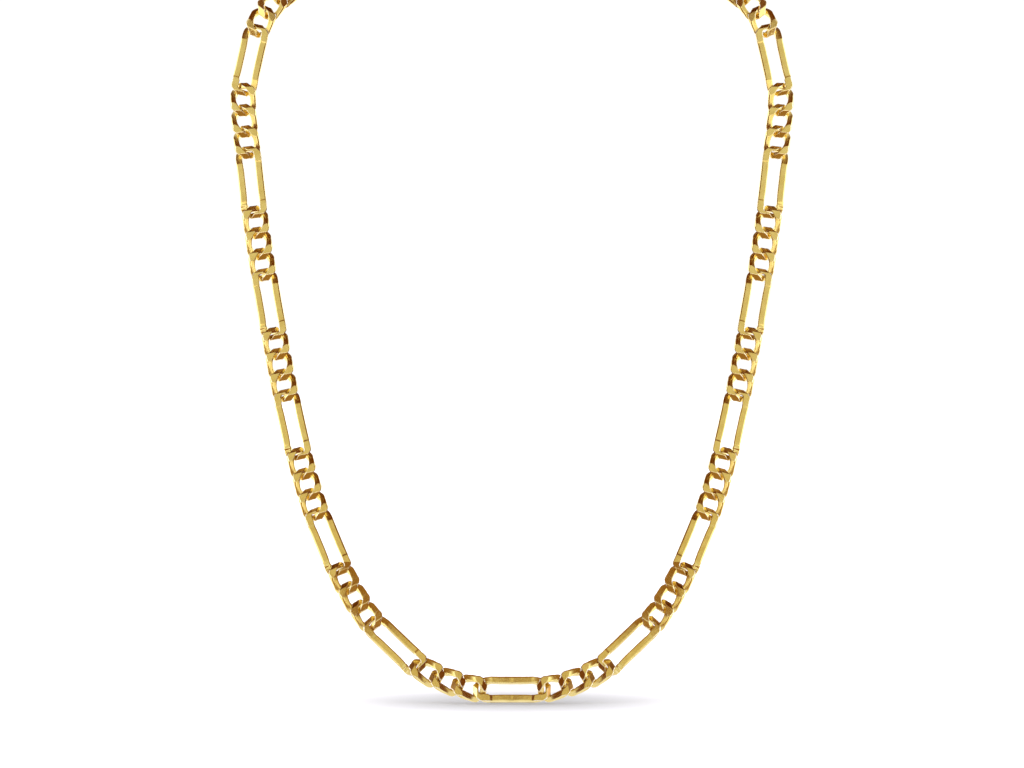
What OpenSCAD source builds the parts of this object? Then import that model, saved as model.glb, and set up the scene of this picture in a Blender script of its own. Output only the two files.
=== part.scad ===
// Figaro chain necklace: three short curb links, then one long link, all the way round.
// Millimetres, +Z up, +X to the right as seen from the front, the front faces -Y.
// The origin is on the inner face of the clasp, where the chain rests on the back of the neck.
// The chain keeps the form that it has when it is worn: a long U down the chest,
// on a slope that leans back as it rises, then round the sides of the neck to the nape.

/* [Links] */
// Width of every link across the chain
link_w = 6.3; // [6.2:0.1:6.5]
// Thickness of the square wire that the links are made of
wire = 1.55; // [1.4:0.05:1.55]
// Inside length of a short curb link
short_in = 5.3; // [5.2:0.05:5.5]
// Inside length of a long link
long_in = 15.6; // [15:0.1:16]
// Radius of the links' corners, at the middle of the wire
corner_r = 1.4; // [1.2:0.1:1.5]

/* [Twist] */
// Roll of a short link's ends out of the chain's flat face, in degrees
end_roll = 48; // [47:1:49]
// Roll of a long link's ends
long_roll = 54; // [53:1:55]
// Share of a long link's half length that stays flat
flat_part = 0.55; // [0.5:0.01:0.57]
// How far the finished links are pressed flat
press = 0.8; // [0.79:0.01:0.82]
// Half thickness to which a short link is filed, front and back
short_file = 1.08; // [1.04:0.01:1.1]
// Half thickness to which a long link is filed
long_file = 0.74; // [0.72:0.01:0.78]

/* [Fit] */
// Play between a long link and the short link at each of its ends
play = 0.3; // [0.28:0.01:0.35]
// Depth by which the three short links of a trio are joined to each other
join = 0.08; // [0.06:0.01:0.1]

/* [Clasp] */
// Length of the clasp over both eyes
clasp_l = 18; // [16:0.5:20]
// Thickness of the clasp
clasp_t = 1.5; // [1.3:0.1:1.6]
// Width of the clasp's body
clasp_w = 4.8; // [4.4:0.1:5]
// Diameter of the hole in each eye
clasp_hole = 2.8; // [2.7:0.1:2.9]
// Wall of each eye at its end
clasp_wall = 1.2; // [1.1:0.1:1.3]

/* [Hidden] */
// Long links on each side of the bottom one
LONG_SIDE = 8;
// Which way the short links are twisted, trio by trio from the bottom up to the nape:
// -1 where the inner bar's lower end stands in front, 1 where its upper end does.
HAND = [-1, -1, -1, -1, -1, 1, 1, -1, -1];
// The chain's route on one side, from the middle of the bottom up to the nape.
// The other side is its mirror image.
// x: out from the middle; y: front to back; z: height; tilt: lean of the chain's face from
// upright, 90 facing up and more than 90 facing back; turn: its turn away from the middle.
ROUTE = [
//  x,     y,     z,      tilt, turn
    [0,    -94,   -179.5, 24,   0],
    [19.2, -92,   -175.2, 24,   0],
    [33.4, -86.4, -162.8, 23,   0],
    [42.8, -79.3, -146.6, 22,   0],
    [49.2, -72,   -129.2, 20,   0],
    [53.8, -65.4, -110.8, 18,   0],
    [57.6, -59.2, -92.2,  17,   0],
    [61,   -53.8, -73.3,  15,   0],
    [63.6, -49.1, -54,    13,   0],
    [65.1, -45,   -34.6,  13,   1],
    [59.6, -40.8, -16.4,  13,   -6],
    [47.5, -30,   -7.5,   20,   -3],
    [33,   -14,   -1,     62,   0],
    [16.5, -1.8,  0,      106,  0],
    [0,    1,     0,      152,  0],
];
STEPS = 8;

function unit(v) = v / norm(v);
function xyz(p) = [p[0], p[1], p[2]];
function flip(p) = [-p[0], p[1], p[2], p[3], -p[4]];

// ---- the route as a smooth curve ----
// A row of the table, going on past both ends in the other side's mirror image
function row(i) = i < 0 ? flip(ROUTE[-i]) : i >= len(ROUTE) ? flip(ROUTE[2 * len(ROUTE) - 2 - i]) : ROUTE[i];
// A curve through the rows: t runs from 0 to 1 between row i and the next
function curve(i, t) =
    let (a = row(i - 1), b = row(i), c = row(i + 1), d = row(i + 2))
    (2 * b + (c - a) * t + (2 * a - 5 * b + 4 * c - d) * t * t + (3 * b - a - 3 * c + d) * t * t * t) / 2;
PATH = [for (i = [0 : len(ROUTE) - 2]) for (k = [0 : STEPS - 1]) curve(i, k / STEPS), ROUTE[len(ROUTE) - 1]];
DIST = [for (i = 0, s = 0; i < len(PATH); s = s + (i + 1 < len(PATH) ? norm(xyz(PATH[i + 1]) - xyz(PATH[i])) : 0), i = i + 1) s];
TABLE = [for (c = [0 : 4]) [for (i = [0 : len(PATH) - 1]) [DIST[i], PATH[i][c]]]];

// ---- where each link sits along the route ----
// From one short link to the next in a trio, from a long link to its first neighbour, and a whole pattern
short_pitch = short_in + join;
meet = (long_in + short_in) / 2 - play;
pattern = 2 * meet + 2 * short_pitch;
function long_at(j) = j * pattern;
function short_at(j, m) = (j - 1) * pattern + meet + m * short_pitch;
// The wire of the last short link passes through the middle of the clasp's eye
eye_r = clasp_hole / 2 + clasp_wall;
eye_x = clasp_l / 2 - eye_r;
// The route is scaled so that the chain and its clasp close it exactly
half_loop = short_at(LONG_SIDE + 1, 2) + half_len(short_in) + eye_x;
fit = half_loop / DIST[len(DIST) - 1];

function on_route(s) = let (p = [for (c = [0 : 4]) lookup(abs(s) / fit, TABLE[c])], q = s < 0 ? flip(p) : p)
    [fit * q[0], fit * q[1], fit * q[2], q[3], q[4]];
// The way the chain's face looks at a place on the route
function face(p) = [sin(p[4]) * cos(p[3]), -cos(p[4]) * cos(p[3]), sin(p[3])];
// A link's frame: its centre, its direction up the chain, its inner side, and its face
function frame(s, half) =
    let (a = xyz(on_route(s - half)), b = xyz(on_route(s + half)), t = unit(b - a),
         f = face(on_route(s)), n = unit(f - (f * t) * t))
    [(a + b) / 2, t, cross(n, t), n];

// ---- a link as a ring of square wire, twisted about the chain's direction ----
b_mid = (link_w - wire) / 2;
function half_len(inside) = (inside + wire) / 2;
// The wire's centre line in the link's own plane: place along the link, place across it, and the
// direction that points out of the ring, station by station, with the stations of each bar listed
function corner(x, y, r, from, step, to) = [for (d = [from : step : to]) [x + r * cos(d), y + r * sin(d), d]];
function ring(a, bar) = let (x = a - corner_r, y = b_mid - corner_r, n = len(bar) - 1) concat(
    corner(x, y, corner_r, 0, 45, 90), [for (u = bar) [u, b_mid, 90]],
    corner(-x, y, corner_r, 90, 45, 180), corner(-x, -y, corner_r, 180, 45, 270),
    [for (i = [n : -1 : 0]) [bar[i], -b_mid, 270]], corner(x, -y, corner_r, 270, 45, 360));
// Twist at a distance u from the link's middle: roll_a at its lower end and roll_b at its upper end
function roll_at(u, a, flat, roll_a, roll_b) =
    (u < 0 ? roll_a : roll_b) * min(1, max(0, (abs(u) / a - flat) / (1 - flat)));
function rolled(p, r) = [p[0], p[1] * cos(r) - p[2] * sin(r), press * (p[1] * sin(r) + p[2] * cos(r))];
function placed(f, p) = f[0] + p[0] * f[1] + p[1] * f[2] + p[2] * f[3];

// A twisted side wall between two stations is split along the diagonal that keeps it from caving in
module wire_ring(f, ring, a, flat, roll_a, roll_b) {
    h = wire / 2;
    n = len(ring);
    pts = [for (q = ring) for (c = [[h, h], [-h, h], [-h, -h], [h, -h]])
        let (u = q[0] + c[0] * cos(q[2]), v = q[1] + c[0] * sin(q[2]))
        placed(f, rolled([u, v, c[1]], roll_at(u, a, flat, roll_a, roll_b)))];
    polyhedron(pts, [for (i = [0 : n - 1]) for (k = [0 : 3])
        let (p = 4 * i + k, q = 4 * i + (k + 1) % 4, r = 4 * ((i + 1) % n) + k, s = 4 * ((i + 1) % n) + (k + 1) % 4,
             twist = ring[i][0] + ring[(i + 1) % n][0] < 0 ? -roll_a : roll_b)
        each twist > 0 ? [[p, s, q], [p, r, s]] : [[p, r, q], [q, r, s]]]);
}
// The link's front and back are filed flat
module filed(f, limit) {
    intersection() {
        children();
        multmatrix([for (k = [0 : 2]) [f[1][k], f[2][k], f[3][k], f[0][k]]]) cube([40, 20, 2 * limit], center = true);
    }
}

// ---- the pieces of one side ----
// The long link that is number j up from the bottom one
module long_on_side(j) {
    a = half_len(long_in);
    roll_b = long_roll * HAND[j];
    roll_a = j == 0 ? roll_b : -long_roll * HAND[j - 1];
    f = frame(long_at(j), long_in / 2);
    filed(f, long_file) wire_ring(f, ring(a, [flat_part * a, -flat_part * a]), a, flat_part, roll_a, roll_b);
}
// The three short links below long link number j, joined along their thread
module trio_on_side(j) {
    a = half_len(short_in);
    r = end_roll * HAND[j - 1];
    for (m = [0 : 2]) {
        f = frame(short_at(j, m), short_in / 2);
        filed(f, short_file) wire_ring(f, ring(a, [0]), a, 0, -r, r);
    }
}
module on_side(right) {
    if (right) children();
    else mirror([1, 0, 0]) children();
}

// ---- the sub-parts, numbered from the left end of the chain round the front to the right end ----
module long_link(i) {
    j = i - 1 - LONG_SIDE;
    color([0.83, 0.69, 0.35]) on_side(j >= 0) long_on_side(abs(j));
}
module curb_trio(i) {
    j = i - 1 - LONG_SIDE;
    color([0.86, 0.73, 0.4]) on_side(j > 0) trio_on_side(j > 0 ? j : 1 - j);
}
// One plain flat piece with an eye at each end, its inner face at the origin
module clasp() {
    color([0.83, 0.69, 0.35]) translate([0, clasp_t, 0]) rotate([90, 0, 0])
        linear_extrude(clasp_t) difference() {
            union() {
                for (s = [-1, 1]) translate([s * eye_x, 0]) circle(eye_r, $fn = 48);
                translate([-eye_x, -clasp_w / 2]) square([2 * eye_x, clasp_w]);
            }
            for (s = [-1, 1]) translate([s * eye_x, 0]) circle(d = clasp_hole, $fn = 48);
        }
}

function two(i) = i < 10 ? str("0", i) : str(i);
function long_name(i) = str("long_link_", two(i));
function trio_name(i) = str("curb_trio_", two(i));
LONG_COUNT = 2 * LONG_SIDE + 1;

for (i = [1 : LONG_COUNT]) long_link(i);
for (i = [1 : LONG_COUNT + 1]) curb_trio(i);
clasp();
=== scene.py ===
"""Looks of the figaro chain necklace: every link as a bevelled ring of square gold wire, twisted and
filed flat, in the place that the frame gives it. Millimetres in the working, metres in the meshes."""
import math

import bmesh
import bpy
import mathutils
import numpy as np
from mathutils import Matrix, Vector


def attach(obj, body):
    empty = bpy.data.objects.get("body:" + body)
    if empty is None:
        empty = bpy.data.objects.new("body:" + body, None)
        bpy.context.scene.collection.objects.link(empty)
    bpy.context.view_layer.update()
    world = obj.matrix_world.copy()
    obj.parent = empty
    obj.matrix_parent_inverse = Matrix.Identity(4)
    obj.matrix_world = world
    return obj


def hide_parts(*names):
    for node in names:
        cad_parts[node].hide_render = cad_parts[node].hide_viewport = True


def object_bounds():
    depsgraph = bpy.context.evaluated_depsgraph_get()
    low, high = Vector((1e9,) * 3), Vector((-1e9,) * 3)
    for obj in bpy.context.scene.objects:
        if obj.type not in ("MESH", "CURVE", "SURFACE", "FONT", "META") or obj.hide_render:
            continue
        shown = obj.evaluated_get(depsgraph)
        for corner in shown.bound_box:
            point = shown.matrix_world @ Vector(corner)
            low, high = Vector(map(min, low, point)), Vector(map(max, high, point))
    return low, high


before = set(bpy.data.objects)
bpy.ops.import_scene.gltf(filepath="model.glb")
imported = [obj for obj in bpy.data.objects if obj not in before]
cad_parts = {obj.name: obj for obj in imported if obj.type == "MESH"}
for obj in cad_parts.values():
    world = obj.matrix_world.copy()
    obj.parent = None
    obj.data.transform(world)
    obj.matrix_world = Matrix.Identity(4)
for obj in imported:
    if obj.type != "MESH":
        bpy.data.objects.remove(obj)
CAD_BOX = [list(v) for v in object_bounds()]

# ---------------------------------------------------------------- sizes, as in the frame
LINK_W, WIRE, SHORT_IN, LONG_IN = 6.3, 1.55, 5.3, 15.6
FLAT_PART, PLAY, JOIN = 0.55, 0.3, 0.08
CLASP_L, CLASP_T, CLASP_W, CLASP_HOLE, CLASP_WALL = 18.0, 1.5, 4.8, 2.8, 1.2
LONG_SIDE = 8
HAND = [-1, -1, -1, -1, -1, 1, 1, -1, -1]
STEPS = 8
# The route on the right side: x, y, z, tilt, turn
ROUTE = np.array([
    [0, -94, -179.5, 24, 0],
    [19.2, -92, -175.2, 24, 0],
    [33.4, -86.4, -162.8, 23, 0],
    [42.8, -79.3, -146.6, 22, 0],
    [49.2, -72, -129.2, 20, 0],
    [53.8, -65.4, -110.8, 18, 0],
    [57.6, -59.2, -92.2, 17, 0],
    [61, -53.8, -73.3, 15, 0],
    [63.6, -49.1, -54, 13, 0],
    [65.1, -45, -34.6, 13, 1],
    [59.6, -40.8, -16.4, 13, -6],
    [47.5, -30, -7.5, 20, -3],
    [33, -14, -1, 62, 0],
    [16.5, -1.8, 0, 106, 0],
    [0, 1, 0, 152, 0],
], float)

# ---------------------------------------------------------------- finish of the links
# How much narrower than the frame's links they are; corner radius of the wire's line; the wire's half size outward, inward (at the ends and at the middle
# of a bar) and across; rounding of its outer and inner edges; roll of the ends and extra roll of the
# wire there; flattening of the whole link; half thickness to which it is filed; where the facet of each
# tip begins, back from the tip, and its fall in degrees
SHORT = dict(slim=0.03, r=1.7, out=0.775, inw=0.775, mid=0.62, wide=0.775, round_out=0.22, round_mid=0.60, round_in=0.22, roll=48.0, lean=8.0, press=0.8, limit=1.08, tip=1.25, fall=38.0)
LONG = dict(slim=0.03, r=1.5, out=0.775, inw=0.775, mid=0.97, wide=0.775, round_out=0.18, round_mid=0.42, round_in=0.26, roll=42.0, lean=0.0, press=0.8, limit=0.74, tip=1.15, fall=38.0)
# The trios next to the bottom link have fuller bars and facets that fall less; the one next to the
# clasp is plainer and filed thinner
TRIO = {1: dict(mid=0.95, round_mid=0.5, fall=24.0), 2: dict(mid=0.85, round_mid=0.55, fall=32.0), 9: dict(limit=0.92, lean=0.0, round_out=0.30)}

MM = 0.001


def unit(v):
    return v / np.linalg.norm(v)


def flip(p):
    return p * np.array([-1, 1, 1, 1, -1])


def row(i):
    n = len(ROUTE)
    return flip(ROUTE[-i]) if i < 0 else flip(ROUTE[2 * n - 2 - i]) if i >= n else ROUTE[i]


def curve(i, t):
    a, b, c, d = row(i - 1), row(i), row(i + 1), row(i + 2)
    return (2 * b + (c - a) * t + (2 * a - 5 * b + 4 * c - d) * t * t + (3 * b - a - 3 * c + d) * t ** 3) / 2


PATH = np.array([curve(i, k / STEPS) for i in range(len(ROUTE) - 1) for k in range(STEPS)] + [ROUTE[-1]])
DIST = np.concatenate([[0], np.cumsum(np.linalg.norm(np.diff(PATH[:, :3], axis=0), axis=1))])
SHORT_PITCH = SHORT_IN + JOIN
MEET = (LONG_IN + SHORT_IN) / 2 - PLAY
PATTERN = 2 * MEET + 2 * SHORT_PITCH
EYE_R = CLASP_HOLE / 2 + CLASP_WALL
EYE_X = CLASP_L / 2 - EYE_R


def long_at(j):
    return j * PATTERN


def short_at(j, m):
    return (j - 1) * PATTERN + MEET + m * SHORT_PITCH


HALF_LOOP = short_at(LONG_SIDE + 1, 2) + (SHORT_IN + WIRE) / 2 + EYE_X
FIT = HALF_LOOP / DIST[-1]


def on_route(s):
    p = np.array([np.interp(abs(s) / FIT, DIST, PATH[:, c]) for c in range(5)])
    if s < 0:
        p = flip(p)
    p[:3] *= FIT
    return p


def link_frame(s, half):
    a, b = on_route(s - half)[:3], on_route(s + half)[:3]
    t = unit(b - a)
    tilt, turn = np.radians(on_route(s)[3:5])
    f = np.array([math.sin(turn) * math.cos(tilt), -math.cos(turn) * math.cos(tilt), math.sin(tilt)])
    n = unit(f - (f @ t) * t)
    return (a + b) / 2, t, np.cross(n, t), n


# ---------------------------------------------------------------- a link's surface
def smooth(x):
    x = np.clip(x, 0, 1)
    return x * x * (3 - 2 * x)


def wire_line(a, b, r, fine, coarse, flat):
    """Stations round the ring: u, v, direction out of the ring, and the length so far."""
    pts = []

    def straight(p, q, out):
        length = math.hypot(q[0] - p[0], q[1] - p[1])
        where, x = [0.0], 0.0
        while x < length - 1e-9:
            u = p[0] + (q[0] - p[0]) * x / length
            step = coarse if abs(u) < flat * a * 0.9 and coarse > fine else fine
            x = min(length, x + step)
            where.append(x)
        if len(where) > 2 and where[-1] - where[-2] < 0.3 * fine:
            where.pop(-2)
        for x in where[:-1]:
            k = x / length
            pts.append((p[0] + (q[0] - p[0]) * k, p[1] + (q[1] - p[1]) * k, out))

    def arc(cx, cy, start):
        n = max(6, int(round(r * math.pi / 2 / fine)))
        for i in range(n):
            d = math.radians(start + 90 * i / n)
            pts.append((cx + r * math.cos(d), cy + r * math.sin(d), d))

    x, y = a - r, b - r
    arc(x, y, 0)
    straight((x, b), (-x, b), math.pi / 2)
    arc(-x, y, 90)
    straight((-a, y), (-a, -y), math.pi)
    arc(-x, -y, 180)
    straight((-x, -b), (x, -b), 1.5 * math.pi)
    arc(x, -y, 270)
    straight((a, -y), (a, y), 2 * math.pi)
    p = np.array(pts)
    step = np.linalg.norm(np.roll(p[:, :2], -1, axis=0) - p[:, :2], axis=1)
    return p[:, 0], p[:, 1], p[:, 2], np.concatenate([[0], np.cumsum(step)])


ARC, SPAN = 5, 5       # points on each rounded edge, and strips on each flat face


def section(look, tip):
    """The wire's section at every station: places and normals (out, up), and a tag for each strip, 0 satin
    on the two flat faces and 1 bright on the rest. tip is 0 along a bar's middle and 1 round an end."""
    out = look["out"] + 0 * tip
    inw = look["mid"] + (look["inw"] - look["mid"]) * tip
    wide = look["wide"] + 0 * tip
    outer = look["round_mid"] + (look["round_out"] - look["round_mid"]) * tip
    place, normal, tag = [], [], []
    corners = []
    for q in range(4):
        r = outer if q in (0, 3) else look["round_in"] + 0 * tip
        x = (out - r) if q in (0, 3) else -(inw - r)
        y = (wide - r) if q in (0, 1) else -(wide - r)
        corners.append((x, y, r))
    for q in range(4):
        x, y, r = corners[q]
        for i in range(ARC):
            d = math.radians(90 * q + 90 * i / (ARC - 1))
            place.append((x + r * math.cos(d), y + r * math.sin(d)))
            normal.append((math.cos(d), math.sin(d)))
            tag.append(1 if i < ARC - 1 or q == 1 else 0)
        x2, y2, r2 = corners[(q + 1) % 4]
        n = (math.cos(math.radians(90 * (q + 1))), math.sin(math.radians(90 * (q + 1))))
        for i in range(1, SPAN):
            k = i / SPAN
            place.append(((x + r * n[0]) * (1 - k) + (x2 + r2 * n[0]) * k, (y + r * n[1]) * (1 - k) + (y2 + r2 * n[1]) * k))
            normal.append(n)
            tag.append(1 if q == 1 else 0)
    return np.stack([p[0] for p in place], 1), np.stack([p[1] for p in place], 1), normal, tag


def link_surface(place, inside, look, flat, roll_low, roll_up, fine, coarse, seam=None):
    """One link before it is filed (vertices in mm, normals, faces, strip tags and map coordinates), and
    the planes that it is filed to, each with its tag."""
    origin, t, side, face = place
    a, b = inside / 2 + WIRE - look["out"], (LINK_W - look["slim"]) / 2 - look["out"]
    radius, limit, press = look["r"], look["limit"], look["press"]
    u0, v0, out, run = wire_line(a, b, radius, fine, coarse, flat)
    n = len(u0)
    share0 = np.clip((np.abs(u0) / a - flat) / (1 - flat), 0, 1)
    tip = smooth((np.abs(u0) - 0.35 * (a - radius)) / (0.65 * (a - radius)))
    c0, c1, normals, tag = section(look, tip)
    m = c0.shape[1]
    n0 = np.array([q[0] for q in normals])[None, :].repeat(n, 0)
    n1 = np.array([q[1] for q in normals])[None, :].repeat(n, 0)
    # the wire leans further over where a bar comes to the front or goes to the back
    turn = np.where(u0 < 0, roll_low, roll_up)
    lean = np.radians(look["lean"]) * np.sign(turn * v0) * smooth(np.abs(v0) / 0.9) * smooth((share0 - 0.05) / 0.6)
    cl, sl = np.cos(lean)[:, None], np.sin(lean)[:, None]
    c0, c1 = c0 * cl - c1 * sl, c0 * sl + c1 * cl
    n0, n1 = n0 * cl - n1 * sl, n0 * sl + n1 * cl
    if seam is not None:
        lump = seam(run[:-1])[:, None]
        c0, c1 = c0 + n0 * lump * np.where(n0 > 0, 0.4, 1), c1 + n1 * lump
    co, si = np.cos(out)[:, None], np.sin(out)[:, None]
    u, v, w = u0[:, None] + c0 * co, v0[:, None] + c0 * si, c1
    x = np.abs(u) / a
    share = np.clip((x - flat) / (1 - flat), 0, 1)
    roll = np.radians(np.where(u < 0, roll_low, roll_up)) * share
    cr, sr = np.cos(roll), np.sin(roll)
    v1, w1 = v * cr - w * sr, v * sr + w * cr
    local = np.stack([u, v1, w1 * press], -1)
    along = np.roll(local, -1, 0) - np.roll(local, 1, 0)
    slope = np.where((x > flat) & (x < 1), np.sign(u) / a / (1 - flat), 0) * np.radians(np.where(u < 0, roll_low, roll_up))

    def turned(du, dv, dw):
        return np.stack([du, cr * dv - sr * dw - w1 * slope * du, (sr * dv + cr * dw + v1 * slope * du) * press], -1)

    across = turned(-n1 * co, -n1 * si, n0)
    nor = np.cross(along, across)
    outward = turned(n0 * co, n0 * si, n1)
    nor *= np.sign((nor * outward).sum(-1))[..., None]
    nor /= np.linalg.norm(nor, axis=-1)[..., None]
    axes = np.stack([t, side, face])
    verts = origin + local.reshape(-1, 3) @ axes
    nors = nor.reshape(-1, 3) @ axes
    i, k = np.meshgrid(np.arange(n), np.arange(m), indexing="ij")
    i2, k2 = (i + 1) % n, (k + 1) % m
    quads = np.stack([i * m + k, i2 * m + k, i2 * m + k2, i * m + k2], -1).reshape(-1, 4)
    tags = np.array(tag)[None, :].repeat(n, 0)
    if seam is not None:
        tags = np.where(seam(run[:-1])[:, None] > 0.02, 1, tags)
    ring = np.concatenate([[0], np.cumsum(np.hypot(np.roll(c0[0], -1) - c0[0], np.roll(c1[0], -1) - c1[0]))])
    s_a, s_b, p_a, p_b = run[i], run[i + 1], ring[k], ring[k + 1]
    uv = np.stack([np.stack([s_a, p_a], -1), np.stack([s_b, p_a], -1), np.stack([s_b, p_b], -1), np.stack([s_a, p_b], -1)], -2).reshape(-1, 2)
    if np.linalg.det(axes) < 0:
        quads = quads[:, ::-1]
        uv = uv.reshape(-1, 4, 2)[:, ::-1].reshape(-1, 2)
    rise = math.tan(math.radians(look["fall"]))
    from_u = a + look["out"] - look["tip"]
    planes = []
    for q in (1, -1):
        planes.append((0, origin + q * limit * face, q * face))
        for e in (1, -1):
            # the front facet at the upper tip gets tag 2, the darker gold: painted shade
            planes.append((2 if e == q == 1 else 1, origin + q * limit * face + e * from_u * t, unit(q * face + e * rise * t)))
    return verts, nors, quads, tags.reshape(-1), uv / 10, planes, (t, side, origin)


def mesh_of(name, part):
    """The link about its own centre, in millimetres."""
    verts, nors, quads, tags, uvs = part[:5]
    verts = verts - part[6][2]
    me = bpy.data.meshes.new(name)
    me.vertices.add(len(verts))
    me.vertices.foreach_set("co", verts.astype(np.float32).ravel())
    me.loops.add(len(quads) * 4)
    me.loops.foreach_set("vertex_index", quads.astype(np.int32).ravel())
    me.polygons.add(len(quads))
    me.polygons.foreach_set("loop_start", (np.arange(len(quads)) * 4).astype(np.int32))
    me.polygons.foreach_set("loop_total", np.full(len(quads), 4, np.int32))
    me.polygons.foreach_set("material_index", tags.astype(np.int32))
    me.uv_layers.new(name="wire").uv.foreach_set("vector", uvs.astype(np.float32).ravel())
    me.attributes.new("smooth_normal", "FLOAT_VECTOR", "POINT").data.foreach_set("vector", nors.astype(np.float32).ravel())
    me.attributes.new("filed", "INT", "FACE")
    me.update(calc_edges=True)
    return me


def as_object(name, parts, materials):
    """One mesh object from several links, each cut flat by its planes."""
    whole = bmesh.new()
    flats = []
    for part in parts:
        me = mesh_of("link", part)
        bm = bmesh.new()
        bm.from_mesh(me)
        bpy.data.meshes.remove(me)
        mark, uv = bm.faces.layers.int["filed"], bm.loops.layers.uv["wire"]
        t, side, centre = part[6]
        for tag, at, normal in part[5]:
            normal = mathutils.Vector(normal)
            cut = bmesh.ops.bisect_plane(bm, geom=bm.verts[:] + bm.edges[:] + bm.faces[:], dist=1e-5, plane_co=mathutils.Vector(at - centre), plane_no=normal, clear_outer=True)
            edges = [e for e in cut["geom_cut"] if isinstance(e, bmesh.types.BMEdge)]
            if not edges:
                continue
            flats.append(normal.copy())
            made = bmesh.ops.triangle_fill(bm, use_beauty=True, edges=edges, normal=normal)["geom"]
            left = [e for e in bm.edges if e.is_boundary]
            if left:
                made += bmesh.ops.holes_fill(bm, edges=left)["faces"]
            for f in made:
                if isinstance(f, bmesh.types.BMFace):
                    if f.normal.dot(normal) < 0:
                        f.normal_flip()
                    f.material_index, f[mark] = tag, len(flats)
                    for loop in f.loops:
                        p = np.array(loop.vert.co) + centre
                        loop[uv].uv = ((p @ t * 0.5 + p @ side * 0.87) / 10, (p @ t * 0.87 - p @ side * 0.5) / 10)
        bmesh.ops.recalc_face_normals(bm, faces=bm.faces[:])
        for v in bm.verts:
            v.co = (v.co + mathutils.Vector(centre)) * MM
        one = bpy.data.meshes.new("link")
        bm.to_mesh(one)
        bm.free()
        whole.from_mesh(one)
        bpy.data.meshes.remove(one)
    me = bpy.data.meshes.new(name)
    whole.to_mesh(me)
    whole.free()
    me.polygons.foreach_set("use_smooth", np.ones(len(me.polygons), bool))
    for m in materials:
        me.materials.append(m)
    # a filed face is flat; everywhere else the wire's own smooth normals hold
    soft = np.zeros(len(me.vertices) * 3, np.float32)
    me.attributes["smooth_normal"].data.foreach_get("vector", soft)
    soft = soft.reshape(-1, 3)
    mark = np.zeros(len(me.polygons), np.int32)
    me.attributes["filed"].data.foreach_get("value", mark)
    corner = np.zeros(len(me.loops), np.int32)
    me.loops.foreach_get("vertex_index", corner)
    total = np.zeros(len(me.polygons), np.int32)
    me.polygons.foreach_get("loop_total", total)
    nors, marks = soft[corner], np.repeat(mark, total)
    for k, normal in enumerate(flats):
        nors[marks == k + 1] = normal
    nors /= np.linalg.norm(nors, axis=1)[:, None]
    me.normals_split_custom_set(nors.tolist())
    me.attributes.remove(me.attributes["smooth_normal"])
    me.attributes.remove(me.attributes["filed"])
    o = bpy.data.objects.new(name, me)
    bpy.context.scene.collection.objects.link(o)
    return o


# ---------------------------------------------------------------- gold
def nodes_of(name):
    m = bpy.data.materials.new(name)
    m.use_nodes = True
    nt = m.node_tree
    nt.nodes.clear()
    out = nt.nodes.new("ShaderNodeOutputMaterial")
    sh = nt.nodes.new("ShaderNodeBsdfPrincipled")
    nt.links.new(sh.outputs[0], out.inputs[0])
    return m, nt, sh


def ramp(nt, fac, low, high, a=0.3, b=0.7):
    r = nt.nodes.new("ShaderNodeValToRGB")
    r.color_ramp.elements[0].position, r.color_ramp.elements[1].position = a, b
    r.color_ramp.elements[0].color, r.color_ramp.elements[1].color = (*low, 1), (*high, 1)
    nt.links.new(fac, r.inputs[0])
    return r


def spread(nt, fac, low, high):
    r = nt.nodes.new("ShaderNodeMapRange")
    r.inputs["From Min"].default_value, r.inputs["From Max"].default_value = 0.3, 0.7
    r.inputs["To Min"].default_value, r.inputs["To Max"].default_value = low, high
    nt.links.new(fac, r.inputs["Value"])
    return r


def noise(nt, vector, scale, detail=3.0, rough=0.55):
    n = nt.nodes.new("ShaderNodeTexNoise")
    n.inputs["Scale"].default_value = scale
    n.inputs["Detail"].default_value = detail
    n.inputs["Roughness"].default_value = rough
    nt.links.new(vector, n.inputs["Vector"])
    return n


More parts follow.
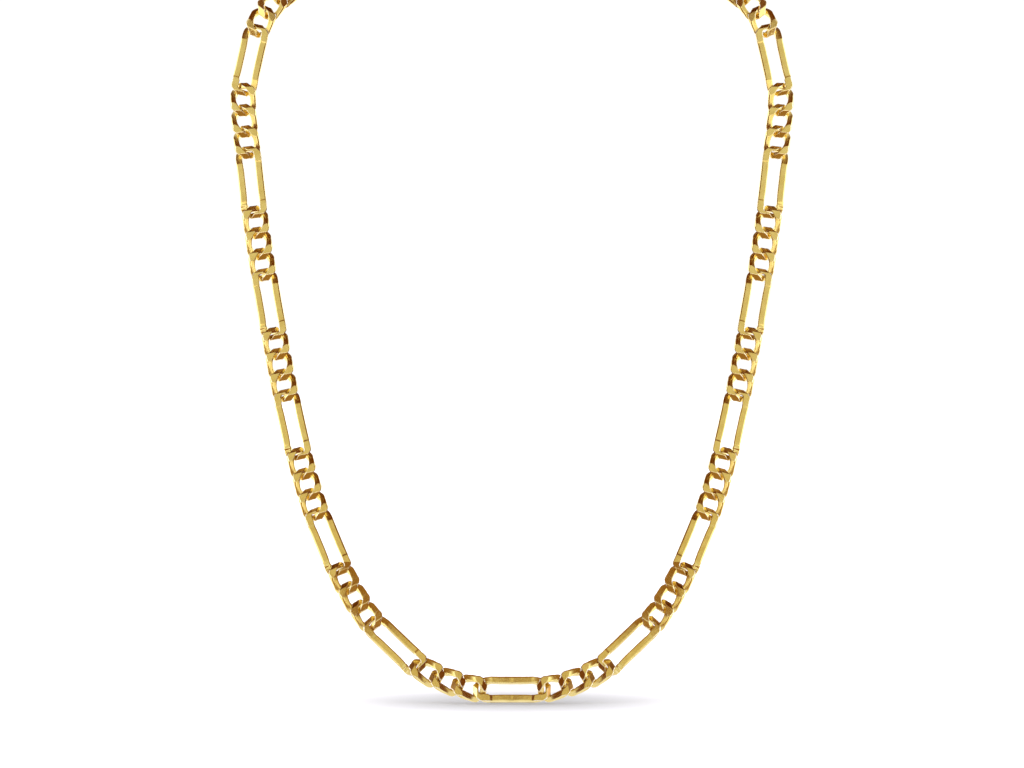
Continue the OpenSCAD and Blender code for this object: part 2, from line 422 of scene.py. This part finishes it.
def gold(name, low, high, rough, grain, lines, wave):
    m, nt, sh = nodes_of(name)
    sh.inputs["Metallic"].default_value = 1.0
    place = nt.nodes.new("ShaderNodeTexCoord")
    patch = noise(nt, place.outputs["Object"], 420, 2)
    # the edges are broken by a small rounding in the shading normals, and along them the gold's colour is lifted
    # towards pale cream: a painted highlight
    broken = nt.nodes.new("ShaderNodeBevel")
    broken.samples = 8
    broken.inputs["Radius"].default_value = 0.00030
    true = nt.nodes.new("ShaderNodeNewGeometry")
    near = nt.nodes.new("ShaderNodeVectorMath")
    near.operation = "DOT_PRODUCT"
    nt.links.new(broken.outputs[0], near.inputs[0])
    nt.links.new(true.outputs["Normal"], near.inputs[1])
    edge_highlight = nt.nodes.new("ShaderNodeMapRange")
    edge_highlight.interpolation_type = "SMOOTHSTEP"
    edge_highlight.inputs["From Min"].default_value, edge_highlight.inputs["From Max"].default_value = 0.992, 0.955
    edge_highlight.inputs["To Min"].default_value, edge_highlight.inputs["To Max"].default_value = 0.0, 0.9
    nt.links.new(near.outputs["Value"], edge_highlight.inputs["Value"])
    # mixes the painted highlight's pale cream into the gold along the edges
    tone_with_highlight = nt.nodes.new("ShaderNodeMix")
    tone_with_highlight.data_type = "RGBA"
    nt.links.new(edge_highlight.outputs[0], tone_with_highlight.inputs["Factor"])
    nt.links.new(ramp(nt, patch.outputs[0], low, high).outputs[0], tone_with_highlight.inputs["A"])
    nt.links.new(ramp(nt, patch.outputs[0], (1.0, 0.88, 0.56), (1.0, 0.94, 0.70)).outputs[0], tone_with_highlight.inputs["B"])
    nt.links.new(tone_with_highlight.outputs["Result"], sh.inputs["Base Color"])
    wire = nt.nodes.new("ShaderNodeUVMap")
    wire.uv_map = "wire"
    run = nt.nodes.new("ShaderNodeMapping")
    run.inputs["Scale"].default_value = (2.2, 90, 1)
    nt.links.new(wire.outputs[0], run.inputs[0])
    brush = noise(nt, run.outputs[0], 1.0, 4, 0.6)
    nt.links.new(spread(nt, brush.outputs[0], rough[0], rough[1]).outputs[0], sh.inputs["Roughness"])
    grit = noise(nt, place.outputs["Object"], 9000, 2)
    swell = noise(nt, place.outputs["Object"], 900, 2)
    last = broken
    for tex, strength, deep in ((grit, grain, 0.00002), (brush, lines, 0.00002), (swell, wave, 0.0001)):
        if strength:
            bump = nt.nodes.new("ShaderNodeBump")
            bump.inputs["Strength"].default_value = strength
            bump.inputs["Distance"].default_value = deep
            nt.links.new(tex.outputs[0], bump.inputs["Height"])
            nt.links.new(last.outputs[0], bump.inputs["Normal"])
            last = bump
    nt.links.new(last.outputs[0], sh.inputs["Normal"])
    return m


SATIN = gold("gold_satin", (0.76, 0.56, 0.15), (0.86, 0.665, 0.21), (0.20, 0.30), 0.30, 0.35, 0.25)
BRIGHT = gold("gold_bright", (0.84, 0.65, 0.20), (0.90, 0.73, 0.26), (0.07, 0.14), 0.05, 0.08, 0.15)
# a darker brown copy of the gold for the front facets at the links' upper tips: painted shade
SHADE_GOLD = gold("gold_painted_shade", (0.40, 0.20, 0.045), (0.56, 0.32, 0.085), (0.18, 0.28), 0.15, 0.15, 0.15)
GOLD = [SATIN, BRIGHT, SHADE_GOLD]


# ---------------------------------------------------------------- the links
def seam_at(centre, seed):
    """A small soldered joint: two low lumps on the wire, at a length along it."""
    rng = np.random.default_rng(seed)
    d, k = rng.uniform(0.36, 0.48), rng.uniform(0.16, 0.22)
    first, second = centre - d, centre + d

    def lump(s):
        return k * np.exp(-((s - first) / 0.26) ** 2) + 0.9 * k * np.exp(-((s - second) / 0.30) ** 2)
    return lump


def mirrored(part):
    v, n, q, g, c, planes, (t, side, centre) = part
    m = np.array([-1, 1, 1])
    return v * m, n * m, q[:, ::-1], g, c.reshape(-1, 4, 2)[:, ::-1].reshape(-1, 2), [(k, p * m, d * m) for k, p, d in planes], (t * m, side * m, centre * m)


def long_link(j):
    up = LONG["roll"] * HAND[j]
    low = up if j == 0 else -LONG["roll"] * HAND[j - 1]
    a, b = (LONG_IN + WIRE) / 2, (LINK_W - WIRE) / 2
    # the outer bar runs from the lower corner up, after the ring's first three corners, inner bar and lower tip
    r = LONG["r"]
    seam = 3 * r * math.pi / 2 + 2 * (a - r) + 2 * (b - r) + 0.9
    return link_surface(link_frame(long_at(j), LONG_IN / 2), LONG_IN, LONG, FLAT_PART, low, up, 0.13, 0.8, seam_at(seam, 20 + j))


def short_link(j, m):
    r = SHORT["roll"] * HAND[j - 1]
    return link_surface(link_frame(short_at(j, m), SHORT_IN / 2), SHORT_IN, dict(SHORT, **TRIO.get(j, {})), 0, -r, r, 0.2, 0.2)


for i in range(1, 2 * LONG_SIDE + 2):
    j = i - 1 - LONG_SIDE
    part = long_link(abs(j))
    o = as_object(f"gold_long_link_{i:02d}", [part if j >= 0 else mirrored(part)], GOLD)
    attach(o, "root")
    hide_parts(f"long_link_{i:02d}")
for i in range(1, 2 * LONG_SIDE + 3):
    j = i - 1 - LONG_SIDE
    parts = [short_link(j if j > 0 else 1 - j, m) for m in range(3)]
    o = as_object(f"gold_curb_trio_{i:02d}", parts if j > 0 else [mirrored(p) for p in parts], GOLD)
    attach(o, "root")
    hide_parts(f"curb_trio_{i:02d}")

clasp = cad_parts["clasp"]
clasp.data.materials.clear()
clasp.data.materials.append(bpy.data.materials["gold_satin"])
edges = clasp.modifiers.new("edges", "BEVEL")
edges.width, edges.segments, edges.limit_method = 0.00018, 3, "ANGLE"
edges.angle_limit = math.radians(40)

# ---------------------------------------------------------------- floor, light and camera
FLOOR_Z = CAD_BOX[0][2] - 0.0002


def disc(name, radius, z, material):
    me = bpy.data.meshes.new(name)
    ring = [(radius * math.cos(k * math.pi / 48), radius * math.sin(k * math.pi / 48), z) for k in range(96)]
    me.from_pydata(ring, [], [list(range(96))])
    me.materials.append(material)
    o = bpy.data.objects.new(name, me)
    bpy.context.scene.collection.objects.link(o)
    return o


m, nt, sh = nodes_of("floor_paper")
sh.inputs["Roughness"].default_value = 0.9
sh.inputs["Specular IOR Level"].default_value = 0.1
place = nt.nodes.new("ShaderNodeTexCoord")
fleck = noise(nt, place.outputs["Object"], 60, 2)
paper = ramp(nt, fleck.outputs[0], (0.92, 0.92, 0.92), (0.94, 0.94, 0.94))
# The soft shade where the chain comes down to the paper: an oval, darkest in its middle
oval = nt.nodes.new("ShaderNodeMapping")
oval.inputs["Location"].default_value = (0, 0.084 / 0.070, -FLOOR_Z / 0.05)
oval.inputs["Scale"].default_value = (1 / 0.061, 1 / 0.070, 1 / 0.05)
nt.links.new(place.outputs["Object"], oval.inputs[0])
reach = nt.nodes.new("ShaderNodeVectorMath")
reach.operation = "LENGTH"
nt.links.new(oval.outputs[0], reach.inputs[0])
shade = nt.nodes.new("ShaderNodeValToRGB")
shade.color_ramp.interpolation = "B_SPLINE"
for at, value in ((0.0, 0.37), (0.25, 0.44), (0.5, 0.59), (0.75, 0.81), (1.0, 1.0)):
    e = shade.color_ramp.elements[0] if at == 0 else shade.color_ramp.elements[-1] if at == 1 else shade.color_ramp.elements.new(at)
    e.position, e.color = at, (value, value * (1.012 - 0.012 * at), value * (0.950 + 0.050 * at), 1)
nt.links.new(reach.outputs["Value"], shade.inputs[0])
both = nt.nodes.new("ShaderNodeMix")
both.data_type, both.blend_type = "RGBA", "MULTIPLY"
both.inputs["Factor"].default_value = 1.0
nt.links.new(paper.outputs[0], both.inputs["A"])
nt.links.new(shade.outputs[0], both.inputs["B"])
nt.links.new(both.outputs["Result"], sh.inputs["Base Color"])
disc("floor", 30.0, FLOOR_Z, m)


def card(name, corners, colour):
    """A dark card that only reflections see."""
    m, nt, sh = nodes_of(name + "_cloth")
    sh.inputs["Base Color"].default_value = (0.02, 0.01, 0.004, 1)
    sh.inputs["Roughness"].default_value = 1.0
    sh.inputs["Specular IOR Level"].default_value = 0.0
    sh.inputs["Emission Color"].default_value = (*colour, 1)
    sh.inputs["Emission Strength"].default_value = 1.0
    me = bpy.data.meshes.new(name)
    me.from_pydata(corners, [], [(0, 1, 2, 3)])
    me.materials.append(m)
    o = bpy.data.objects.new(name, me)
    bpy.context.scene.collection.objects.link(o)
    o.visible_camera = o.visible_diffuse = o.visible_shadow = o.visible_transmission = o.visible_volume_scatter = False
    return o


DARK = (0.16, 0.042, 0.002)
card("flag_middle", [(0, -0.12, -0.17), (0, -0.055, -0.17), (0, -0.055, 0.30), (0, -0.42, 0.30)], DARK)
card("flag_middle_low", [(0, -0.125, -0.1822), (0, -0.0968, -0.1822), (0, -0.0968, -0.17), (0, -0.12, -0.17)], DARK)
card("flag_low", [(-0.040, -0.105, -0.150), (0.040, -0.105, -0.150), (0.040, 0.06, -0.150), (-0.040, 0.06, -0.150)], (0.34, 0.18, 0.06))
card("flag_front", [(-0.30, -0.28, -0.1824), (0.30, -0.28, -0.1824), (0.30, -0.125, -0.1824), (-0.30, -0.125, -0.1824)], (0.34, 0.18, 0.06))

card("bounce", [(-0.055, -0.124, -0.18235), (0.055, -0.124, -0.18235), (0.055, -0.03, -0.18235), (-0.055, -0.03, -0.18235)], (1.0, 1.05, 1.45))

# The studio: white behind, bright at both sides, a soft panel above the camera, dark overhead
world = bpy.data.worlds.new("studio")
bpy.context.scene.world = world
world.use_nodes = True
nt = world.node_tree
nt.nodes.clear()
out = nt.nodes.new("ShaderNodeOutputWorld")
bg = nt.nodes.new("ShaderNodeBackground")
nt.links.new(bg.outputs[0], out.inputs[0])
look = nt.nodes.new("ShaderNodeTexCoord")
xyz = nt.nodes.new("ShaderNodeSeparateXYZ")
nt.links.new(look.outputs["Generated"], xyz.inputs[0])
MOST = 3.0             # the ramps hold radiance divided by this


def world_ramp(source, stops, low=-1.0):
    r = nt.nodes.new("ShaderNodeMapRange")
    r.inputs["From Min"].default_value, r.inputs["From Max"].default_value = low, 1
    nt.links.new(source, r.inputs["Value"])
    c = nt.nodes.new("ShaderNodeValToRGB")
    while len(c.color_ramp.elements) < len(stops):
        c.color_ramp.elements.new(0.5)
    for e, (at, value) in zip(c.color_ramp.elements, stops):
        e.position = (at - low) / (1 - low)
        value = value if isinstance(value, tuple) else (value,) * 3
        e.color = (*(x / MOST for x in value), 1)
    nt.links.new(r.outputs[0], c.inputs[0])
    return c.outputs[0]


def mixed(fac, a, b):
    x = nt.nodes.new("ShaderNodeMix")
    x.data_type = "RGBA"
    nt.links.new(fac, x.inputs["Factor"])
    nt.links.new(a, x.inputs["A"])
    nt.links.new(b, x.inputs["B"])
    return x.outputs["Result"]


front = world_ramp(xyz.outputs["Z"], [(-0.48, (0.42, 0.26, 0.10)), (-0.30, (0.86, 0.76, 0.56)), (0.05, (0.86, 0.76, 0.56)), (0.30, 0.80), (0.52, 0.86), (0.64, (0.87, 0.84, 0.74)), (0.76, (0.83, 0.70, 0.46)), (0.92, DARK)])
back = world_ramp(xyz.outputs["Z"], [(-0.3, (1.05, 1.1, 1.4)), (0.40, (1.05, 1.1, 1.4)), (0.55, (0.7, 0.62, 0.5)), (0.70, DARK)])
sides = world_ramp(xyz.outputs["Z"], [(-0.3, (2.1, 2.25, 2.9)), (0.50, (2.1, 2.25, 2.9)), (0.66, (1.1, 1.15, 1.3)), (0.80, DARK)])
where = world_ramp(xyz.outputs["Y"], [(-0.55, 0.0), (-0.05, MOST)])
aside = nt.nodes.new("ShaderNodeMath")
aside.operation = "ABSOLUTE"
nt.links.new(xyz.outputs["X"], aside.inputs[0])
beside = world_ramp(aside.outputs[0], [(0.55, 0.0), (0.80, MOST)], 0.0)
seen = nt.nodes.new("ShaderNodeLightPath")
white = world_ramp(xyz.outputs["Z"], [(-1.0, 1.05), (1.0, 1.1)])
nt.links.new(mixed(seen.outputs["Is Camera Ray"], mixed(beside, mixed(where, front, back), sides), white), bg.inputs["Color"])
bg.inputs["Strength"].default_value = MOST

# One broad lamp overhead for the floor, which the polished metal doesn't mirror
lamp = bpy.data.lights.new("overhead", "SUN")
lamp.angle = math.radians(140)
lamp.energy = 3.0
overhead = bpy.data.objects.new("overhead", lamp)
bpy.context.scene.collection.objects.link(overhead)
overhead.visible_glossy = False

cam = bpy.data.cameras.new("camera")
cam.sensor_width = 36
cam.lens = 5010 / 1024 * 36
cam.clip_start, cam.clip_end = 0.05, 100
camera = bpy.data.objects.new("camera", cam)
bpy.context.scene.collection.objects.link(camera)
camera.location = (0, -1.265, -0.108)
camera.rotation_euler = (math.pi / 2, 0, 0)
bpy.context.scene.camera = camera
bpy.context.scene.view_settings.view_transform = "Standard"
